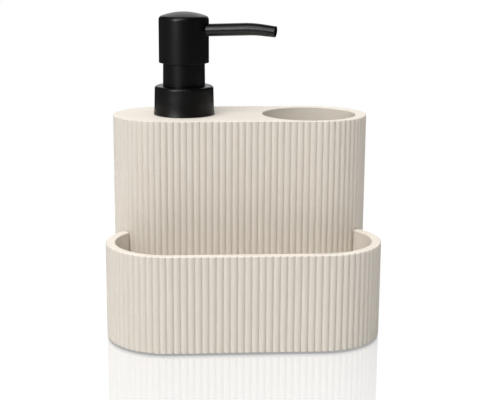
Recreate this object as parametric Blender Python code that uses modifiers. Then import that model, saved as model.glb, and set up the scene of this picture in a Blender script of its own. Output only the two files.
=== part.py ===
"""Counter-top soap dispenser set: a fluted stone-resin casting that holds a lotion pump
and a brush well, with a fluted sponge tray bonded to its front.

Metres, +Z up. The origin is on the surface it stands on, under the middle of its footprint.
The front, with the tray, faces -Y. Pump heights are measured from the casting's top face."""

import math

import bmesh
import bpy
from mathutils import Matrix, Vector

# Fits between pieces
GAP = 0.0003
OVERRUN = 0.002
MERGE = 0.00001

# Feet
PAD_RADIUS = 0.006
PAD_THICK = 0.001
PAD_FROM_EDGE = 0.0135

# Tall casting, sizes over the crests of its flutes
BODY_LENGTH = 0.172
BODY_DEPTH = 0.072
BODY_HEIGHT = 0.139
BODY_FLUTES = 100
BODY_PHASE_share = 0.38
FLUTE_DEPTH = 0.0008
EDGE_ROUND = 0.0009

# Brush well, as wide as the casting's front and back walls allow
WELL_SIDE_WALL = 0.0045
WELL_END_WALL = 0.0077
WELL_FLOOR = 0.014
WELL_LIP = 0.0006
WELL_FILLET = 0.006

# Soap reservoir and the plate that closes it from below
RESERVOIR_WALL = 0.0065
RESERVOIR_ROOF = 0.010
WELL_WEB = 0.0075
PLATE_THICK = 0.005
PLATE_LEDGE = 0.0025
ROUND_END_share = 0.45

# Sponge tray, sizes over the crests of its flutes
TRAY_LENGTH = 0.180
TRAY_DEPTH = 0.083
TRAY_HEIGHT = 0.063
TRAY_REACH = 0.0537
TRAY_FLUTES = 102
TRAY_PHASE_share = 0.61
TRAY_WALL = 0.0062
TRAY_FLOOR = 0.006
TRAY_FILLET = 0.005
TRAY_LIP = 0.0006

# Neck insert, glued into the roof of the reservoir
PUMP_FROM_END = 0.0480
NECK_RADIUS = 0.0135
NECK_WALL = 0.0023
NECK_RISE = 0.0133
NECK_ROOT = 0.0015
NECK_ROOT_DEPTH = 0.009
NECK_LEDGE = 0.0043
NECK_FLANGE = 0.0015

# Pump housing
GASKET_THICK = 0.001
HOUSING_FLANGE = 0.0012
HOUSING_RADIUS = 0.0086
HOUSING_WALL = 0.0013
SPIGOT_DEPTH = 0.010
SPIGOT_WALL = 0.00125
INLET_RADIUS = 0.0017
BALL_RADIUS = 0.0029
BALL_LIFT = 0.0015
BALL_PLAY = 0.0005
DIP_RADIUS = 0.0034
DIP_WALL = 0.0009
DIP_CLEARANCE = 0.004
DIP_SLANT = math.radians(30)

# Closure, collar and sleeve
THREAD_ROOM = 0.0004
CLOSURE_PLATE = 0.0014
CLOSURE_WALL = 0.0017
CLOSURE_RIM = 0.0027
CLOSURE_FOOT = 0.0014
COLLAR_WALL = 0.0012
COLLAR_PLATE = 0.0012
COLLAR_DRAFT = 0.00025
COLLAR_FLARE = 0.0006
COLLAR_FLARE_RISE = 0.0035
COLLAR_ROUND = 0.0017
SLEEVE_RADIUS = 0.0140
SLEEVE_WALL = 0.0012
SLEEVE_DRAFT = 0.0002
SLEEVE_FOOT = 0.0005
SLEEVE_FOOT_RISE = 0.0014
SLEEVE_OVERLAP = 0.0028

# Moving pieces of the pump
STROKE = 0.012
HEAD_REST = 0.0036
STOP_ROOM = 0.0007
BUSH_RIM = 0.0024
BUSH_DEPTH = 0.0035
STEM_RADIUS = 0.004
STEM_WALL = 0.00165
PISTON_LENGTH = 0.005
PISTON_LIP = 0.0009
PLUNGER_ROOM = 0.0019
PLUNGER_FOOT = 0.0015
PLUNGER_REACH = 0.010
SPRING_CLEARANCE = 0.0023
SPRING_WIRE = 0.0005
SPRING_TURNS = 7
SPRING_ROOM = 0.002
CAGE_THICK = 0.002

# Pump head and spout
HEAD_CLEARANCE = 0.00165
HEAD_WALL = 0.0012
HEAD_DRAFT = 0.0002
HEAD_ROUND = 0.0028
HEAD_DOME = 0.0030
HEAD_ABOVE_SPOUT = 0.0126
SPOUT_COVER = 0.0016
SPOUT_RADIUS = 0.0040
SPOUT_TIP_RADIUS = 0.00355
SPOUT_WALL = 0.0006
SPOUT_START = 0.0055
SPOUT_KNEE = 0.0490
SPOUT_TIP = 0.0145
SPOUT_BEND = 0.006
SPOUT_RISE = math.radians(2.8)
SPOUT_DROP = math.radians(5.8)
SPOUT_HEADING = math.radians(-20)
INSERT_ABOVE_SPOUT = 0.0052
SOCKET_WALL = 0.0022
SOCKET_DEPTH = 0.0144
STEM_SEAT = 0.003

# Smoothness
FLUTE_POINTS = 4
END_STEPS = 20
WELL_SIDES = 48
SHELL_SIDES = 36
INNER_SIDES = 24
SMALL_SIDES = 16
ROUND_STEPS = 3
DOME_STEPS = 4
SPRING_STEPS = 8
SPOUT_RESOLUTION = 4
WIRE_RESOLUTION = 1
SHARP_ANGLE = math.radians(35)

# Places along the castings, and the pump's radii from the neck outwards
well_radius = BODY_DEPTH / 2 - WELL_SIDE_WALL
well_x = BODY_LENGTH / 2 - WELL_END_WALL - well_radius
pump_x = PUMP_FROM_END - BODY_LENGTH / 2
body_y = TRAY_REACH / 2
body_front = body_y - BODY_DEPTH / 2
tray_front = body_front - TRAY_REACH
tray_y = tray_front + TRAY_DEPTH / 2
closure_bore = NECK_RADIUS + THREAD_ROOM
closure_skirt = closure_bore + CLOSURE_WALL
closure_radius = closure_skirt + CLOSURE_RIM
collar_bore = closure_radius + GAP
collar_top = collar_bore + COLLAR_WALL
sleeve_foot = SLEEVE_RADIUS + SLEEVE_FOOT
collar_mouth = SLEEVE_RADIUS - SLEEVE_FOOT
head_bore = SLEEVE_RADIUS + HEAD_CLEARANCE
head_radius = head_bore + HEAD_WALL

# and from the housing inwards
bush_radius = HOUSING_RADIUS + BUSH_RIM
housing_bore = HOUSING_RADIUS - HOUSING_WALL
piston_radius = housing_bore - GAP
plunger_radius = housing_bore - PLUNGER_ROOM
spring_radius = housing_bore - SPRING_CLEARANCE - SPRING_WIRE
stem_bore = STEM_RADIUS - STEM_WALL
pocket_radius = BALL_RADIUS + BALL_PLAY
dip_socket = DIP_RADIUS + GAP
spigot_radius = dip_socket + SPIGOT_WALL

# Levels, worked out upwards from the casting's top face
gasket_low = NECK_RISE + GAP
gasket_high = gasket_low + GASKET_THICK
flange_low = gasket_high + GAP
flange_high = flange_low + HOUSING_FLANGE
closure_low = NECK_FLANGE + GAP + GAP
plate_low = flange_high + GAP
plate_high = plate_low + CLOSURE_PLATE
collar_ceiling = plate_high + GAP
collar_high = collar_ceiling + COLLAR_PLATE
sleeve_low = collar_high + GAP
head_low = collar_high + STROKE + HEAD_REST
sleeve_high = head_low + SLEEVE_OVERLAP
insert_low = sleeve_high + STROKE + STOP_ROOM
spout_level = insert_low + SPOUT_COVER + SPOUT_RADIUS
insert_high = spout_level + INSERT_ABOVE_SPOUT
head_high = spout_level + HEAD_ABOVE_SPOUT
socket_low = insert_low - SOCKET_DEPTH
stem_high = insert_low - STEM_SEAT

# and downwards into the pump housing
bush_low = flange_low - BUSH_DEPTH
piston_high = bush_low - GAP
piston_low = piston_high - PISTON_LENGTH
stem_low = piston_high + GAP
foot_high = piston_low - GAP
foot_low = foot_high - PLUNGER_FOOT
spring_high = foot_low - GAP
spring_low = spring_high - STROKE - SPRING_TURNS * 2 * SPRING_WIRE - SPRING_ROOM
cage_high = spring_low - GAP
cage_low = cage_high - CAGE_THICK
housing_step = cage_low - GAP
ball_level = cage_low - GAP - BALL_LIFT - BALL_RADIUS
seat_reach = (BALL_RADIUS + GAP) * math.sqrt(2)
seat_low = ball_level - (seat_reach - INLET_RADIUS)
seat_high = ball_level - (seat_reach - pocket_radius)
spigot_high = seat_low - HOUSING_WALL
spigot_low = spigot_high - SPIGOT_DEPTH

# Heights above the surface that the object stands on
casting_low = PAD_THICK + GAP
top_face = casting_low + BODY_HEIGHT
plate_ceiling = casting_low + PLATE_THICK + GAP
dip_low = plate_ceiling + DIP_CLEARANCE - top_face
reservoir_left = RESERVOIR_WALL - BODY_LENGTH / 2
reservoir_right = well_x - well_radius - WELL_WEB
reservoir_length = reservoir_right - reservoir_left
reservoir_depth = BODY_DEPTH - 2 * RESERVOIR_WALL
reservoir_x = (reservoir_left + reservoir_right) / 2


def clear_scene():
    """Remove whatever the scene holds."""
    for obj in list(bpy.data.objects):
        bpy.data.objects.remove(obj, do_unlink=True)


def collection(name):
    """A new collection in the scene."""
    group = bpy.data.collections.new(name)
    bpy.context.scene.collection.children.link(group)
    return group


def material(name, colour, roughness, metallic=0.0):
    """A plain finish in the piece's own colour."""
    finish = bpy.data.materials.new(name)
    finish.use_nodes = True
    shader = finish.node_tree.nodes["Principled BSDF"]
    shader.inputs["Base Color"].default_value = (*colour, 1.0)
    shader.inputs["Roughness"].default_value = roughness
    shader.inputs["Metallic"].default_value = metallic
    finish.diffuse_color = (*colour, 1.0)
    return finish


def part(name, mesh, finish, parent=None):
    """A visible piece of the dispenser."""
    obj = bpy.data.objects.new(name, mesh)
    mesh.materials.append(finish)
    parts.objects.link(obj)
    obj.parent = parent
    return obj


def cutter(name, mesh, parent=None):
    """A shape that is taken away from pieces, and isn't one itself."""
    obj = bpy.data.objects.new(name, mesh)
    cutters.objects.link(obj)
    obj.parent = parent
    obj.hide_render = True
    obj.display_type = "WIRE"
    return obj


def axis_empty(name, location):
    """An empty on a joint's axis, which carries the pieces that turn or slide there."""
    empty = bpy.data.objects.new(name, None)
    parts.objects.link(empty)
    empty.location = location
    empty.empty_display_size = PAD_RADIUS
    return empty


def cut(obj, tool):
    """Take a cutter away from a piece."""
    boolean = obj.modifiers.new("Cut " + tool.name, "BOOLEAN")
    boolean.operation = "DIFFERENCE"
    boolean.object = tool


def smooth(obj):
    """Shade round faces smooth and keep the real edges sharp."""
    obj.data.shade_smooth()
    obj.data.set_sharp_from_angle(angle=SHARP_ANGLE)


def arc(centre, radius, start, end, steps):
    """Points (radius, height) of a rounded corner of a turned profile, angles in degrees from outwards."""
    points = []
    for i in range(steps + 1):
        angle = math.radians(start + (end - start) * i / steps)
        points.append((centre[0] + radius * math.cos(angle), centre[1] + radius * math.sin(angle)))
    return points


def profile_mesh(name, profile, closed):
    """The edge loop or line that a Screw modifier turns, from (radius, height) points."""
    mesh = bpy.data.meshes.new(name)
    edges = [(i, i + 1) for i in range(len(profile) - 1)]
    if closed:
        edges.append((len(profile) - 1, 0))
    mesh.from_pydata([(radius, 0, height) for radius, height in profile], edges, [])
    return mesh


def turn(obj, sides):
    """Revolve an object's profile about its own Z axis."""
    screw = obj.modifiers.new("Turn", "SCREW")
    screw.steps = sides
    screw.render_steps = sides
    screw.use_merge_vertices = True
    screw.merge_threshold = MERGE
    screw.use_smooth_shade = True


def turned(name, profile, sides, finish, parent=None, closed=True):
    """A turned piece. Its profile runs down the outside and, where it is hollow, back up inside."""
    obj = part(name, profile_mesh(name, profile, closed), finish, parent)
    turn(obj, sides)
    return obj


def turned_cutter(name, profile, sides, parent=None):
    """A turned hole, from the axis out, down and back to the axis."""
    obj = cutter(name, profile_mesh(name, profile, False), parent)
    turn(obj, sides)
    return obj


def loft(name, sections):
    """A solid skinned upwards over level outlines, each a (points, height) pair of as many points."""
    shape = bmesh.new()
    loops = [[shape.verts.new((x, y, height)) for x, y in points] for points, height in sections]
    for low, high in zip(loops, loops[1:]):
        for i, vert in enumerate(low):
            following = (i + 1) % len(low)
            shape.faces.new((vert, low[following], high[following], high[i]))
    shape.faces.new(reversed(loops[0]))
    shape.faces.new(loops[-1])
    mesh = bpy.data.meshes.new(name)
    shape.to_mesh(mesh)
    shape.free()
    return mesh


def block(name, sizes, matrix):
    """A box of these sizes, placed by a matrix."""
    shape = bmesh.new()
    bmesh.ops.create_cube(shape, size=1, matrix=matrix @ Matrix.Diagonal((*sizes, 1)))
    mesh = bpy.data.meshes.new(name)
    shape.to_mesh(mesh)
    shape.free()
    return mesh


def rod(name, radius, start, end, sides):
    """A straight bar between two points."""
    run = Vector(end) - Vector(start)
    turn_to = run.to_track_quat("Z", "Y").to_matrix().to_4x4()
    middle = Matrix.Translation((Vector(start) + Vector(end)) / 2)
    shape = bmesh.new()
    bmesh.ops.create_cone(
        shape,
        cap_ends=True,
        segments=sides,
        radius1=radius,
        radius2=radius,
        depth=run.length,
        matrix=middle @ turn_to,
    )
    mesh = bpy.data.meshes.new(name)
    shape.to_mesh(mesh)
    shape.free()
    return mesh


def swept(name, points, radii, resolution):
    """The mesh of a round bar along a line of points, with closed ends."""
    curve = bpy.data.curves.new(name, "CURVE")
    curve.dimensions = "3D"
    curve.bevel_depth = 1
    curve.bevel_resolution = resolution
    curve.use_fill_caps = True
    spline = curve.splines.new("POLY")
    spline.points.add(len(points) - 1)
    for target, place, radius in zip(spline.points, points, radii):
        target.co = (*place, 1)
        target.radius = radius
    guide = bpy.data.objects.new(name, curve)
    cutters.objects.link(guide)
    graph = bpy.context.evaluated_depsgraph_get()
    mesh = bpy.data.meshes.new_from_object(guide.evaluated_get(graph))
    bpy.data.objects.remove(guide)
    bpy.data.curves.remove(curve)
    shape = bmesh.new()
    shape.from_mesh(mesh)
    bmesh.ops.remove_doubles(shape, verts=shape.verts, dist=MERGE)
    bmesh.ops.recalc_face_normals(shape, faces=shape.faces)
    shape.to_mesh(mesh)
    shape.free()
    mesh.name = name
    return mesh


def stadium(length, depth, centre=(0, 0)):
    """An outline with round ends, counter-clockwise from the right-hand end's front.
    The ends are half circles, flattened only where the outline is too short to hold them."""
    reach = min(depth / 2, ROUND_END_share * length)
    half = length / 2 - reach
    points = []
    for end, start in ((half, -math.pi / 2), (-half, math.pi / 2)):
        for i in range(END_STEPS + 1):
            angle = start + math.pi * i / END_STEPS
            x = centre[0] + end + reach * math.cos(angle)
            points.append((x, centre[1] + depth / 2 * math.sin(angle)))
    return points


def on_stadium(length, depth, along, into):
    """The point this far round from the middle of the front, and this far in from the outline."""
    radius = depth / 2
    half = length / 2 - radius
    end = math.pi * radius
    along %= 4 * half + 2 * end
    reach = radius - into
    if along < half:
        return along, -reach
    along -= half
    if along < end:
        return half + reach * math.sin(along / radius), -reach * math.cos(along / radius)
    along -= end
    if along < 2 * half:
        return half - along, reach
    along -= 2 * half
    if along < end:
        return -half - reach * math.sin(along / radius), reach * math.cos(along / radius)
    along -= end
    return along - half, -reach


def fluted(length, depth, flutes, phase, inset=0.0):
    """A stadium whose wall is a row of convex ribs, each a shallow arc between two valleys."""
    pitch = (2 * (length - depth) + math.pi * depth) / flutes
    points = []
    for i in range(flutes * FLUTE_POINTS):
        across = (i % FLUTE_POINTS) / FLUTE_POINTS
        valley = FLUTE_DEPTH * (2 * across - 1) ** 2
        points.append(on_stadium(length, depth, (i / FLUTE_POINTS + phase) * pitch, inset + valley))
    return points


def fluted_block(name, length, depth, height, flutes, phase):
    """A fluted casting's outside, from its flat underside to the soft edge of its top face."""
    high = casting_low + height
    sections = [(fluted(length, depth, flutes, phase), casting_low)]
    for i in range(ROUND_STEPS):
        angle = math.pi / 2 * i / (ROUND_STEPS - 1)
        inset = EDGE_ROUND * (1 - math.cos(angle))
        level = high - EDGE_ROUND * (1 - math.sin(angle))
        sections.append((fluted(length, depth, flutes, phase, inset), level))
    return loft(name, sections)


def well_cutter(body):
    """The brush well: plain wall, soft lip, filleted floor."""
    floor = casting_low + WELL_FLOOR
    fillet = arc((well_radius - WELL_FILLET, floor + WELL_FILLET), WELL_FILLET, 0, -90, ROUND_STEPS)
    lip = well_radius + WELL_LIP
    profile = [(0, top_face + OVERRUN), (lip, top_face + OVERRUN), (lip, top_face)]
    profile += [(well_radius, top_face - WELL_LIP)] + fillet + [(0, floor)]
    tool = turned_cutter("well_cutter", profile, WELL_SIDES, body)
    tool.location = (well_x, 0, 0)
    return tool


def reservoir_cutter(body):
    """The soap reservoir, open below where the core was drawn out."""
    outline = stadium(reservoir_length, reservoir_depth, (reservoir_x, 0))
    sections = [(outline, casting_low - OVERRUN), (outline, top_face - RESERVOIR_ROOF)]
    return cutter("reservoir_cutter", loft("reservoir_cutter", sections), body)


def plate_outline(margin):
    """The base plate's outline, the reservoir's with a ledge all round and this much play."""
    wider = 2 * (PLATE_LEDGE - margin)
    return stadium(reservoir_length + wider, reservoir_depth + wider, (reservoir_x, 0))


def rebate_cutter(body):
    """The rebate under the casting that the base plate is glued into."""
    outline = plate_outline(0.0)
    sections = [(outline, casting_low - OVERRUN), (outline, plate_ceiling)]
    return cutter("rebate_cutter", loft("rebate_cutter", sections), body)


def neck_cutter():
    """The bore in the roof for the neck insert."""
    radius = NECK_RADIUS + NECK_ROOT + GAP
    low = -RESERVOIR_ROOF - OVERRUN
    profile = [(0, OVERRUN), (radius, OVERRUN), (radius, low), (0, low)]
    return turned_cutter("neck_cutter", profile, SHELL_SIDES, pump_axis)


def make_body():
    """The tall casting with its reservoir and its brush well."""
    shape = (BODY_LENGTH, BODY_DEPTH, BODY_HEIGHT, BODY_FLUTES, BODY_PHASE_share)
    body = part("body", fluted_block("body", *shape), resin)
    body.location = (0, body_y, 0)
    for tool in (reservoir_cutter(body), rebate_cutter(body), neck_cutter(), well_cutter(body)):
        cut(body, tool)
    smooth(body)
    return body


def make_base_plate(body):
    """The plate that closes the reservoir, flush with the casting's underside."""
    outline = plate_outline(GAP)
    sections = [(outline, casting_low), (outline, casting_low + PLATE_THICK)]
    part("base_plate", loft("base_plate", sections), resin, body)


def pocket_outline(inset):
    """The tray's inner outline, this far in from its wall."""
    narrower = 2 * (TRAY_WALL + inset)
    return stadium(TRAY_LENGTH - narrower, TRAY_DEPTH - narrower)


def pocket_cutter(tray):
    """The tray's smooth inside: filleted floor, upright wall, soft lip."""
    floor = casting_low + TRAY_FLOOR
    high = casting_low + TRAY_HEIGHT
    sections = []
    for i in range(ROUND_STEPS):
        angle = math.pi / 2 * i / (ROUND_STEPS - 1)
        inset = TRAY_FILLET * (1 - math.sin(angle))
        sections.append((pocket_outline(inset), floor + TRAY_FILLET * (1 - math.cos(angle))))
    sections.append((pocket_outline(0.0), high - TRAY_LIP))
    sections.append((pocket_outline(-TRAY_LIP), high))
    sections.append((pocket_outline(-TRAY_LIP), high + OVERRUN))
    return cutter("pocket_cutter", loft("pocket_cutter", sections), tray)


def scribe_cutter(body):
    """The tall casting's outline with a glue line's play, which the tray is scribed to."""
    outline = stadium(BODY_LENGTH + 2 * GAP, BODY_DEPTH + 2 * GAP)
    sections = [(outline, 0), (outline, casting_low + TRAY_HEIGHT + OVERRUN)]
    return cutter("scribe_cutter", loft("scribe_cutter", sections), body)


def make_tray(body):
    """The sponge tray, whose wall ends and floor meet the tall casting's front."""
    shape = (TRAY_LENGTH, TRAY_DEPTH, TRAY_HEIGHT, TRAY_FLUTES, TRAY_PHASE_share)
    tray = part("tray", fluted_block("tray", *shape), resin)
    tray.location = (0, tray_y, 0)
    cut(tray, pocket_cutter(tray))
    cut(tray, scribe_cutter(body))
    smooth(tray)


def make_feet():
    """Round pads: one pair under the tall casting, two pairs under the tray."""
    body_x = BODY_LENGTH / 2 - BODY_DEPTH / 2
    tray_x = TRAY_LENGTH / 2 - TRAY_DEPTH / 2
    rear = body_y + BODY_DEPTH / 2 - PAD_FROM_EDGE
    middle = body_front - GAP - PAD_FROM_EDGE
    front = tray_front + PAD_FROM_EDGE
    places = {"rear": (body_x, rear), "middle": (tray_x, middle), "front": (tray_x, front)}
    for row, (x, y) in places.items():
        for side, sign in (("left", -1), ("right", 1)):
            profile = [(0, PAD_THICK), (PAD_RADIUS, PAD_THICK), (PAD_RADIUS, 0), (0, 0)]
            foot = turned(f"foot_{row}_{side}", profile, INNER_SIDES, rubber, closed=False)
            foot.location = (sign * x, y, 0)


def make_neck_insert():
    """The moulded neck that the pump screws onto."""
    bore = NECK_RADIUS - NECK_WALL
    root = NECK_RADIUS + NECK_ROOT
    flange = NECK_RADIUS + NECK_LEDGE
    profile = [
        (NECK_RADIUS, NECK_RISE),
        (NECK_RADIUS, NECK_FLANGE + GAP),
        (flange, NECK_FLANGE + GAP),
        (flange, GAP),
        (root, GAP),
        (root, -NECK_ROOT_DEPTH),
        (bore, -NECK_ROOT_DEPTH),
        (bore, NECK_RISE),
    ]
    turned("neck_insert", profile, SHELL_SIDES, black_plastic, pump_axis)


def make_gasket():
    """The sealing ring between the neck and the pump's flange."""
    inner = HOUSING_RADIUS + GAP
    profile = [
        (NECK_RADIUS, gasket_high),
        (NECK_RADIUS, gasket_low),
        (inner, gasket_low),
        (inner, gasket_high),
    ]
    turned("gasket", profile, INNER_SIDES, rubber, pump_axis)


def make_housing():
    """The pump housing: flange, cylinder, ball seat and the spigot for the dip tube."""
    profile = [
        (NECK_RADIUS, flange_high),
        (NECK_RADIUS, flange_low),
        (HOUSING_RADIUS, flange_low),
        (HOUSING_RADIUS, housing_step - HOUSING_WALL),
        (spigot_radius, seat_high),
        (spigot_radius, spigot_low),
        (dip_socket, spigot_low),
        (dip_socket, spigot_high),
        (INLET_RADIUS, spigot_high),
        (INLET_RADIUS, seat_low),
        (pocket_radius, seat_high),
        (pocket_radius, housing_step),
        (housing_bore, housing_step),
        (housing_bore, flange_high),
    ]
    turned("pump_housing", profile, INNER_SIDES, clear_plastic, pump_axis)


def make_guide_bush():
    """The bush at the top of the housing that guides the stem and stops the piston."""
    bore = STEM_RADIUS + GAP
    spigot = housing_bore - GAP
    profile = [
        (bush_radius, plate_high),
        (bush_radius, plate_low),
        (spigot, plate_low),
        (spigot, bush_low),
        (bore, bush_low),
        (bore, plate_high),
    ]
    turned("guide_bush", profile, INNER_SIDES, clear_plastic, pump_axis)


def make_dip_tube():
    """The tube that reaches the bottom of the reservoir, its foot cut on a slant."""
    high = spigot_high - GAP
    bore = DIP_RADIUS - DIP_WALL
    profile = [(DIP_RADIUS, high), (DIP_RADIUS, dip_low), (bore, dip_low), (bore, high)]
    tube = turned("dip_tube", profile, SMALL_SIDES, clear_plastic, pump_axis)
    size = 4 * DIP_RADIUS
    lean = Matrix.Rotation(DIP_SLANT, 4, "Y")
    pivot = Matrix.Translation((-DIP_RADIUS, 0, dip_low))
    below = Matrix.Translation((0, 0, -size / 2))
    wedge = block("slant_cutter", (size * 2, size, size), pivot @ lean @ below)
    cut(tube, cutter("slant_cutter", wedge, pump_axis))


def make_closure():
    """The threaded cap inside the collar, which clamps the pump's flange to the neck."""
    mouth = bush_radius + GAP
    profile = [
        (closure_radius, plate_high),
        (closure_radius, plate_low),
        (closure_skirt, plate_low),
        (closure_skirt, closure_low + CLOSURE_FOOT),
        (closure_radius, closure_low + CLOSURE_FOOT),
        (closure_radius, closure_low),
        (closure_bore, closure_low),
        (closure_bore, plate_low),
        (mouth, plate_low),
        (mouth, plate_high),
    ]
    turned("closure", profile, INNER_SIDES, black_plastic, closure_axis)


def make_collar():
    """The collar over the closure, flared at its foot, with a rounded shoulder."""
    shoulder = (collar_top - COLLAR_ROUND, collar_high - COLLAR_ROUND)
    drafted = collar_top + COLLAR_DRAFT
    profile = [(collar_mouth, collar_high)] + arc(shoulder, COLLAR_ROUND, 90, 0, ROUND_STEPS)
    profile += [
        (drafted, GAP + 2 * COLLAR_FLARE_RISE),
        (drafted + COLLAR_FLARE / 3, GAP + COLLAR_FLARE_RISE),
        (drafted + COLLAR_FLARE, GAP),
        (collar_bore + COLLAR_DRAFT, GAP),
        (collar_bore, collar_ceiling),
        (collar_mouth, collar_ceiling),
    ]
    turned("collar", profile, SHELL_SIDES, black_plastic, closure_axis)


def make_sleeve():
    """The fixed sleeve that the head slides over, standing on the collar."""
    spigot = collar_mouth - GAP
    bore = SLEEVE_RADIUS - SLEEVE_WALL
    profile = [
        (SLEEVE_RADIUS, sleeve_high),
        (SLEEVE_RADIUS + SLEEVE_DRAFT, sleeve_low + SLEEVE_FOOT_RISE),
        (sleeve_foot, sleeve_low),
        (spigot, sleeve_low),
        (spigot, collar_ceiling),
        (spigot - SLEEVE_WALL, collar_ceiling),
        (spigot - SLEEVE_WALL, sleeve_low),
        (bore, sleeve_low + SLEEVE_FOOT_RISE),
        (bore, sleeve_high),
    ]
    turned("guide_sleeve", profile, SHELL_SIDES, black_plastic, closure_axis)


def make_stem():
    """The hollow stem that carries the head."""
    profile = [
        (STEM_RADIUS, stem_high),
        (STEM_RADIUS, stem_low),
        (stem_bore, stem_low),
        (stem_bore, stem_high),
    ]
    turned("stem", profile, SMALL_SIDES, clear_plastic, head_axis)


def make_plunger():
    """The plunger snapped into the stem's foot, which the spring pushes up."""
    rod_radius = stem_bore - GAP
    profile = [
        (0, stem_low + PLUNGER_REACH),
        (rod_radius, stem_low + PLUNGER_REACH),
        (rod_radius, foot_high),
        (plunger_radius, foot_high),
        (plunger_radius, foot_low),
        (0, foot_low),
    ]
    turned("plunger", profile, SMALL_SIDES, clear_plastic, head_axis, closed=False)


def make_piston():
    """The piston between stem and plunger, with a sealing lip at each end."""
    waist = piston_radius - PISTON_LIP
    profile = [
        (piston_radius, piston_high),
        (piston_radius, piston_high - PISTON_LIP),
        (waist, piston_high - 2 * PISTON_LIP),
        (waist, piston_low + 2 * PISTON_LIP),
        (piston_radius, piston_low + PISTON_LIP),
        (piston_radius, piston_low),
        (stem_bore, piston_low),
        (stem_bore, piston_high),
    ]
    turned("piston", profile, INNER_SIDES, clear_plastic, head_axis)


def make_spring():
    """The return spring, one unbroken coil between the cage and the plunger's foot."""
    low = spring_low + SPRING_WIRE
    rise = spring_high - SPRING_WIRE - low
    count = SPRING_TURNS * SPRING_STEPS
    points = []
    for i in range(count + 1):
        angle = 2 * math.pi * i / SPRING_STEPS
        height = low + rise * i / count
        points.append((spring_radius * math.cos(angle), spring_radius * math.sin(angle), height))
    gaps = [(Vector(a) - Vector(b)).length for a, b in zip(points, points[SPRING_STEPS:])]
    print("Least gap between the spring's turns:", round(min(gaps) - 2 * SPRING_WIRE, 5))
    mesh = swept("spring", points, [SPRING_WIRE] * len(points), WIRE_RESOLUTION)
    part("spring", mesh, steel, pump_axis)


def make_ball_cage():
    """The cage that the spring stands on and that keeps the ball over its seat."""
    bore = BALL_RADIUS - BALL_PLAY
    profile = [(piston_radius, cage_high), (piston_radius, cage_low), (bore, cage_low), (bore, cage_high)]
    turned("ball_cage", profile, INNER_SIDES, clear_plastic, pump_axis)


def make_ball():
    """The check ball over the inlet."""
    shape = bmesh.new()
    bmesh.ops.create_icosphere(shape, subdivisions=2, radius=BALL_RADIUS)
    mesh = bpy.data.meshes.new("check_ball")
    shape.to_mesh(mesh)
    shape.free()
    ball = part("check_ball", mesh, steel, pump_axis)
    ball.location = (0, 0, ball_level)
    smooth(ball)


def make_head():
    """The head's outer shell: domed top, rounded shoulder, long skirt, hole for the spout."""
    edge = head_radius - HEAD_DRAFT - HEAD_ROUND
    shoulder = head_high - HEAD_DOME - HEAD_ROUND
    profile = []
    for i in range(DOME_STEPS):
        radius = edge * i / DOME_STEPS
        profile.append((radius, head_high - HEAD_DOME * (radius / edge) ** 2))
    profile += arc((edge, shoulder), HEAD_ROUND, 90, 0, ROUND_STEPS)
    profile += [(head_radius, head_low), (head_bore, head_low), (head_bore, shoulder)]
    profile += [(edge, shoulder + HEAD_WALL), (0, shoulder + HEAD_WALL)]
    head = turned("pump_head", profile, SHELL_SIDES, black_plastic, head_axis, closed=False)
    cut(head, spout_cutter("spout_hole", SPOUT_RADIUS + GAP, SPOUT_START))


def make_head_insert():
    """The core inside the head: a socket for the stem, and the way from stem to spout."""
    outer = head_bore - GAP
    bore = STEM_RADIUS + GAP
    socket = bore + SOCKET_WALL
    profile = [
        (0, insert_high),
        (outer, insert_high),
        (outer, insert_low),
        (socket, insert_low),
        (socket, socket_low),
        (bore, socket_low),
        (bore, stem_high + GAP),
        (stem_bore, stem_high + GAP),
        (stem_bore, spout_level),
        (0, spout_level),
    ]
    insert = turned("head_insert", profile, INNER_SIDES, black_plastic, head_axis, closed=False)
    cut(insert, spout_cutter("spout_seat", SPOUT_RADIUS + GAP, SPOUT_START - GAP))
    cut(insert, spout_cutter("channel_cutter", stem_bore, -stem_bore / 2))


def spout_point(reach, height=None):
    """A point on the spout's line, this far out from the pump's axis."""
    level = spout_level + reach * math.tan(SPOUT_RISE) if height is None else height
    return reach * math.cos(SPOUT_HEADING), reach * math.sin(SPOUT_HEADING), level


def spout_cutter(name, radius, start):
    """A round hole along the spout's line, from this far out to beyond the head."""
    hole = rod(name, radius, spout_point(start), spout_point(2 * head_radius), INNER_SIDES)
    return cutter(name, hole, head_axis)


def spout_line(start, end):
    """Points along the spout: up to its knee, round it and down to the tip, as (reach, height)."""
    knee = spout_level + SPOUT_KNEE * math.tan(SPOUT_RISE)
    before = SPOUT_KNEE - SPOUT_BEND
    after = SPOUT_KNEE + SPOUT_BEND
    up = knee - SPOUT_BEND * math.tan(SPOUT_RISE)
    down = knee - SPOUT_BEND * math.tan(SPOUT_DROP)
    line = [(start, spout_level + start * math.tan(SPOUT_RISE))]
    for i in range(DOME_STEPS + 1):
        t = i / DOME_STEPS
        reach = (1 - t) ** 2 * before + 2 * t * (1 - t) * SPOUT_KNEE + t**2 * after
        line.append((reach, (1 - t) ** 2 * up + 2 * t * (1 - t) * knee + t**2 * down))
    line.append((end, knee - (end - SPOUT_KNEE) * math.tan(SPOUT_DROP)))
    return [spout_point(reach, height) for reach, height in line]


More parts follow.
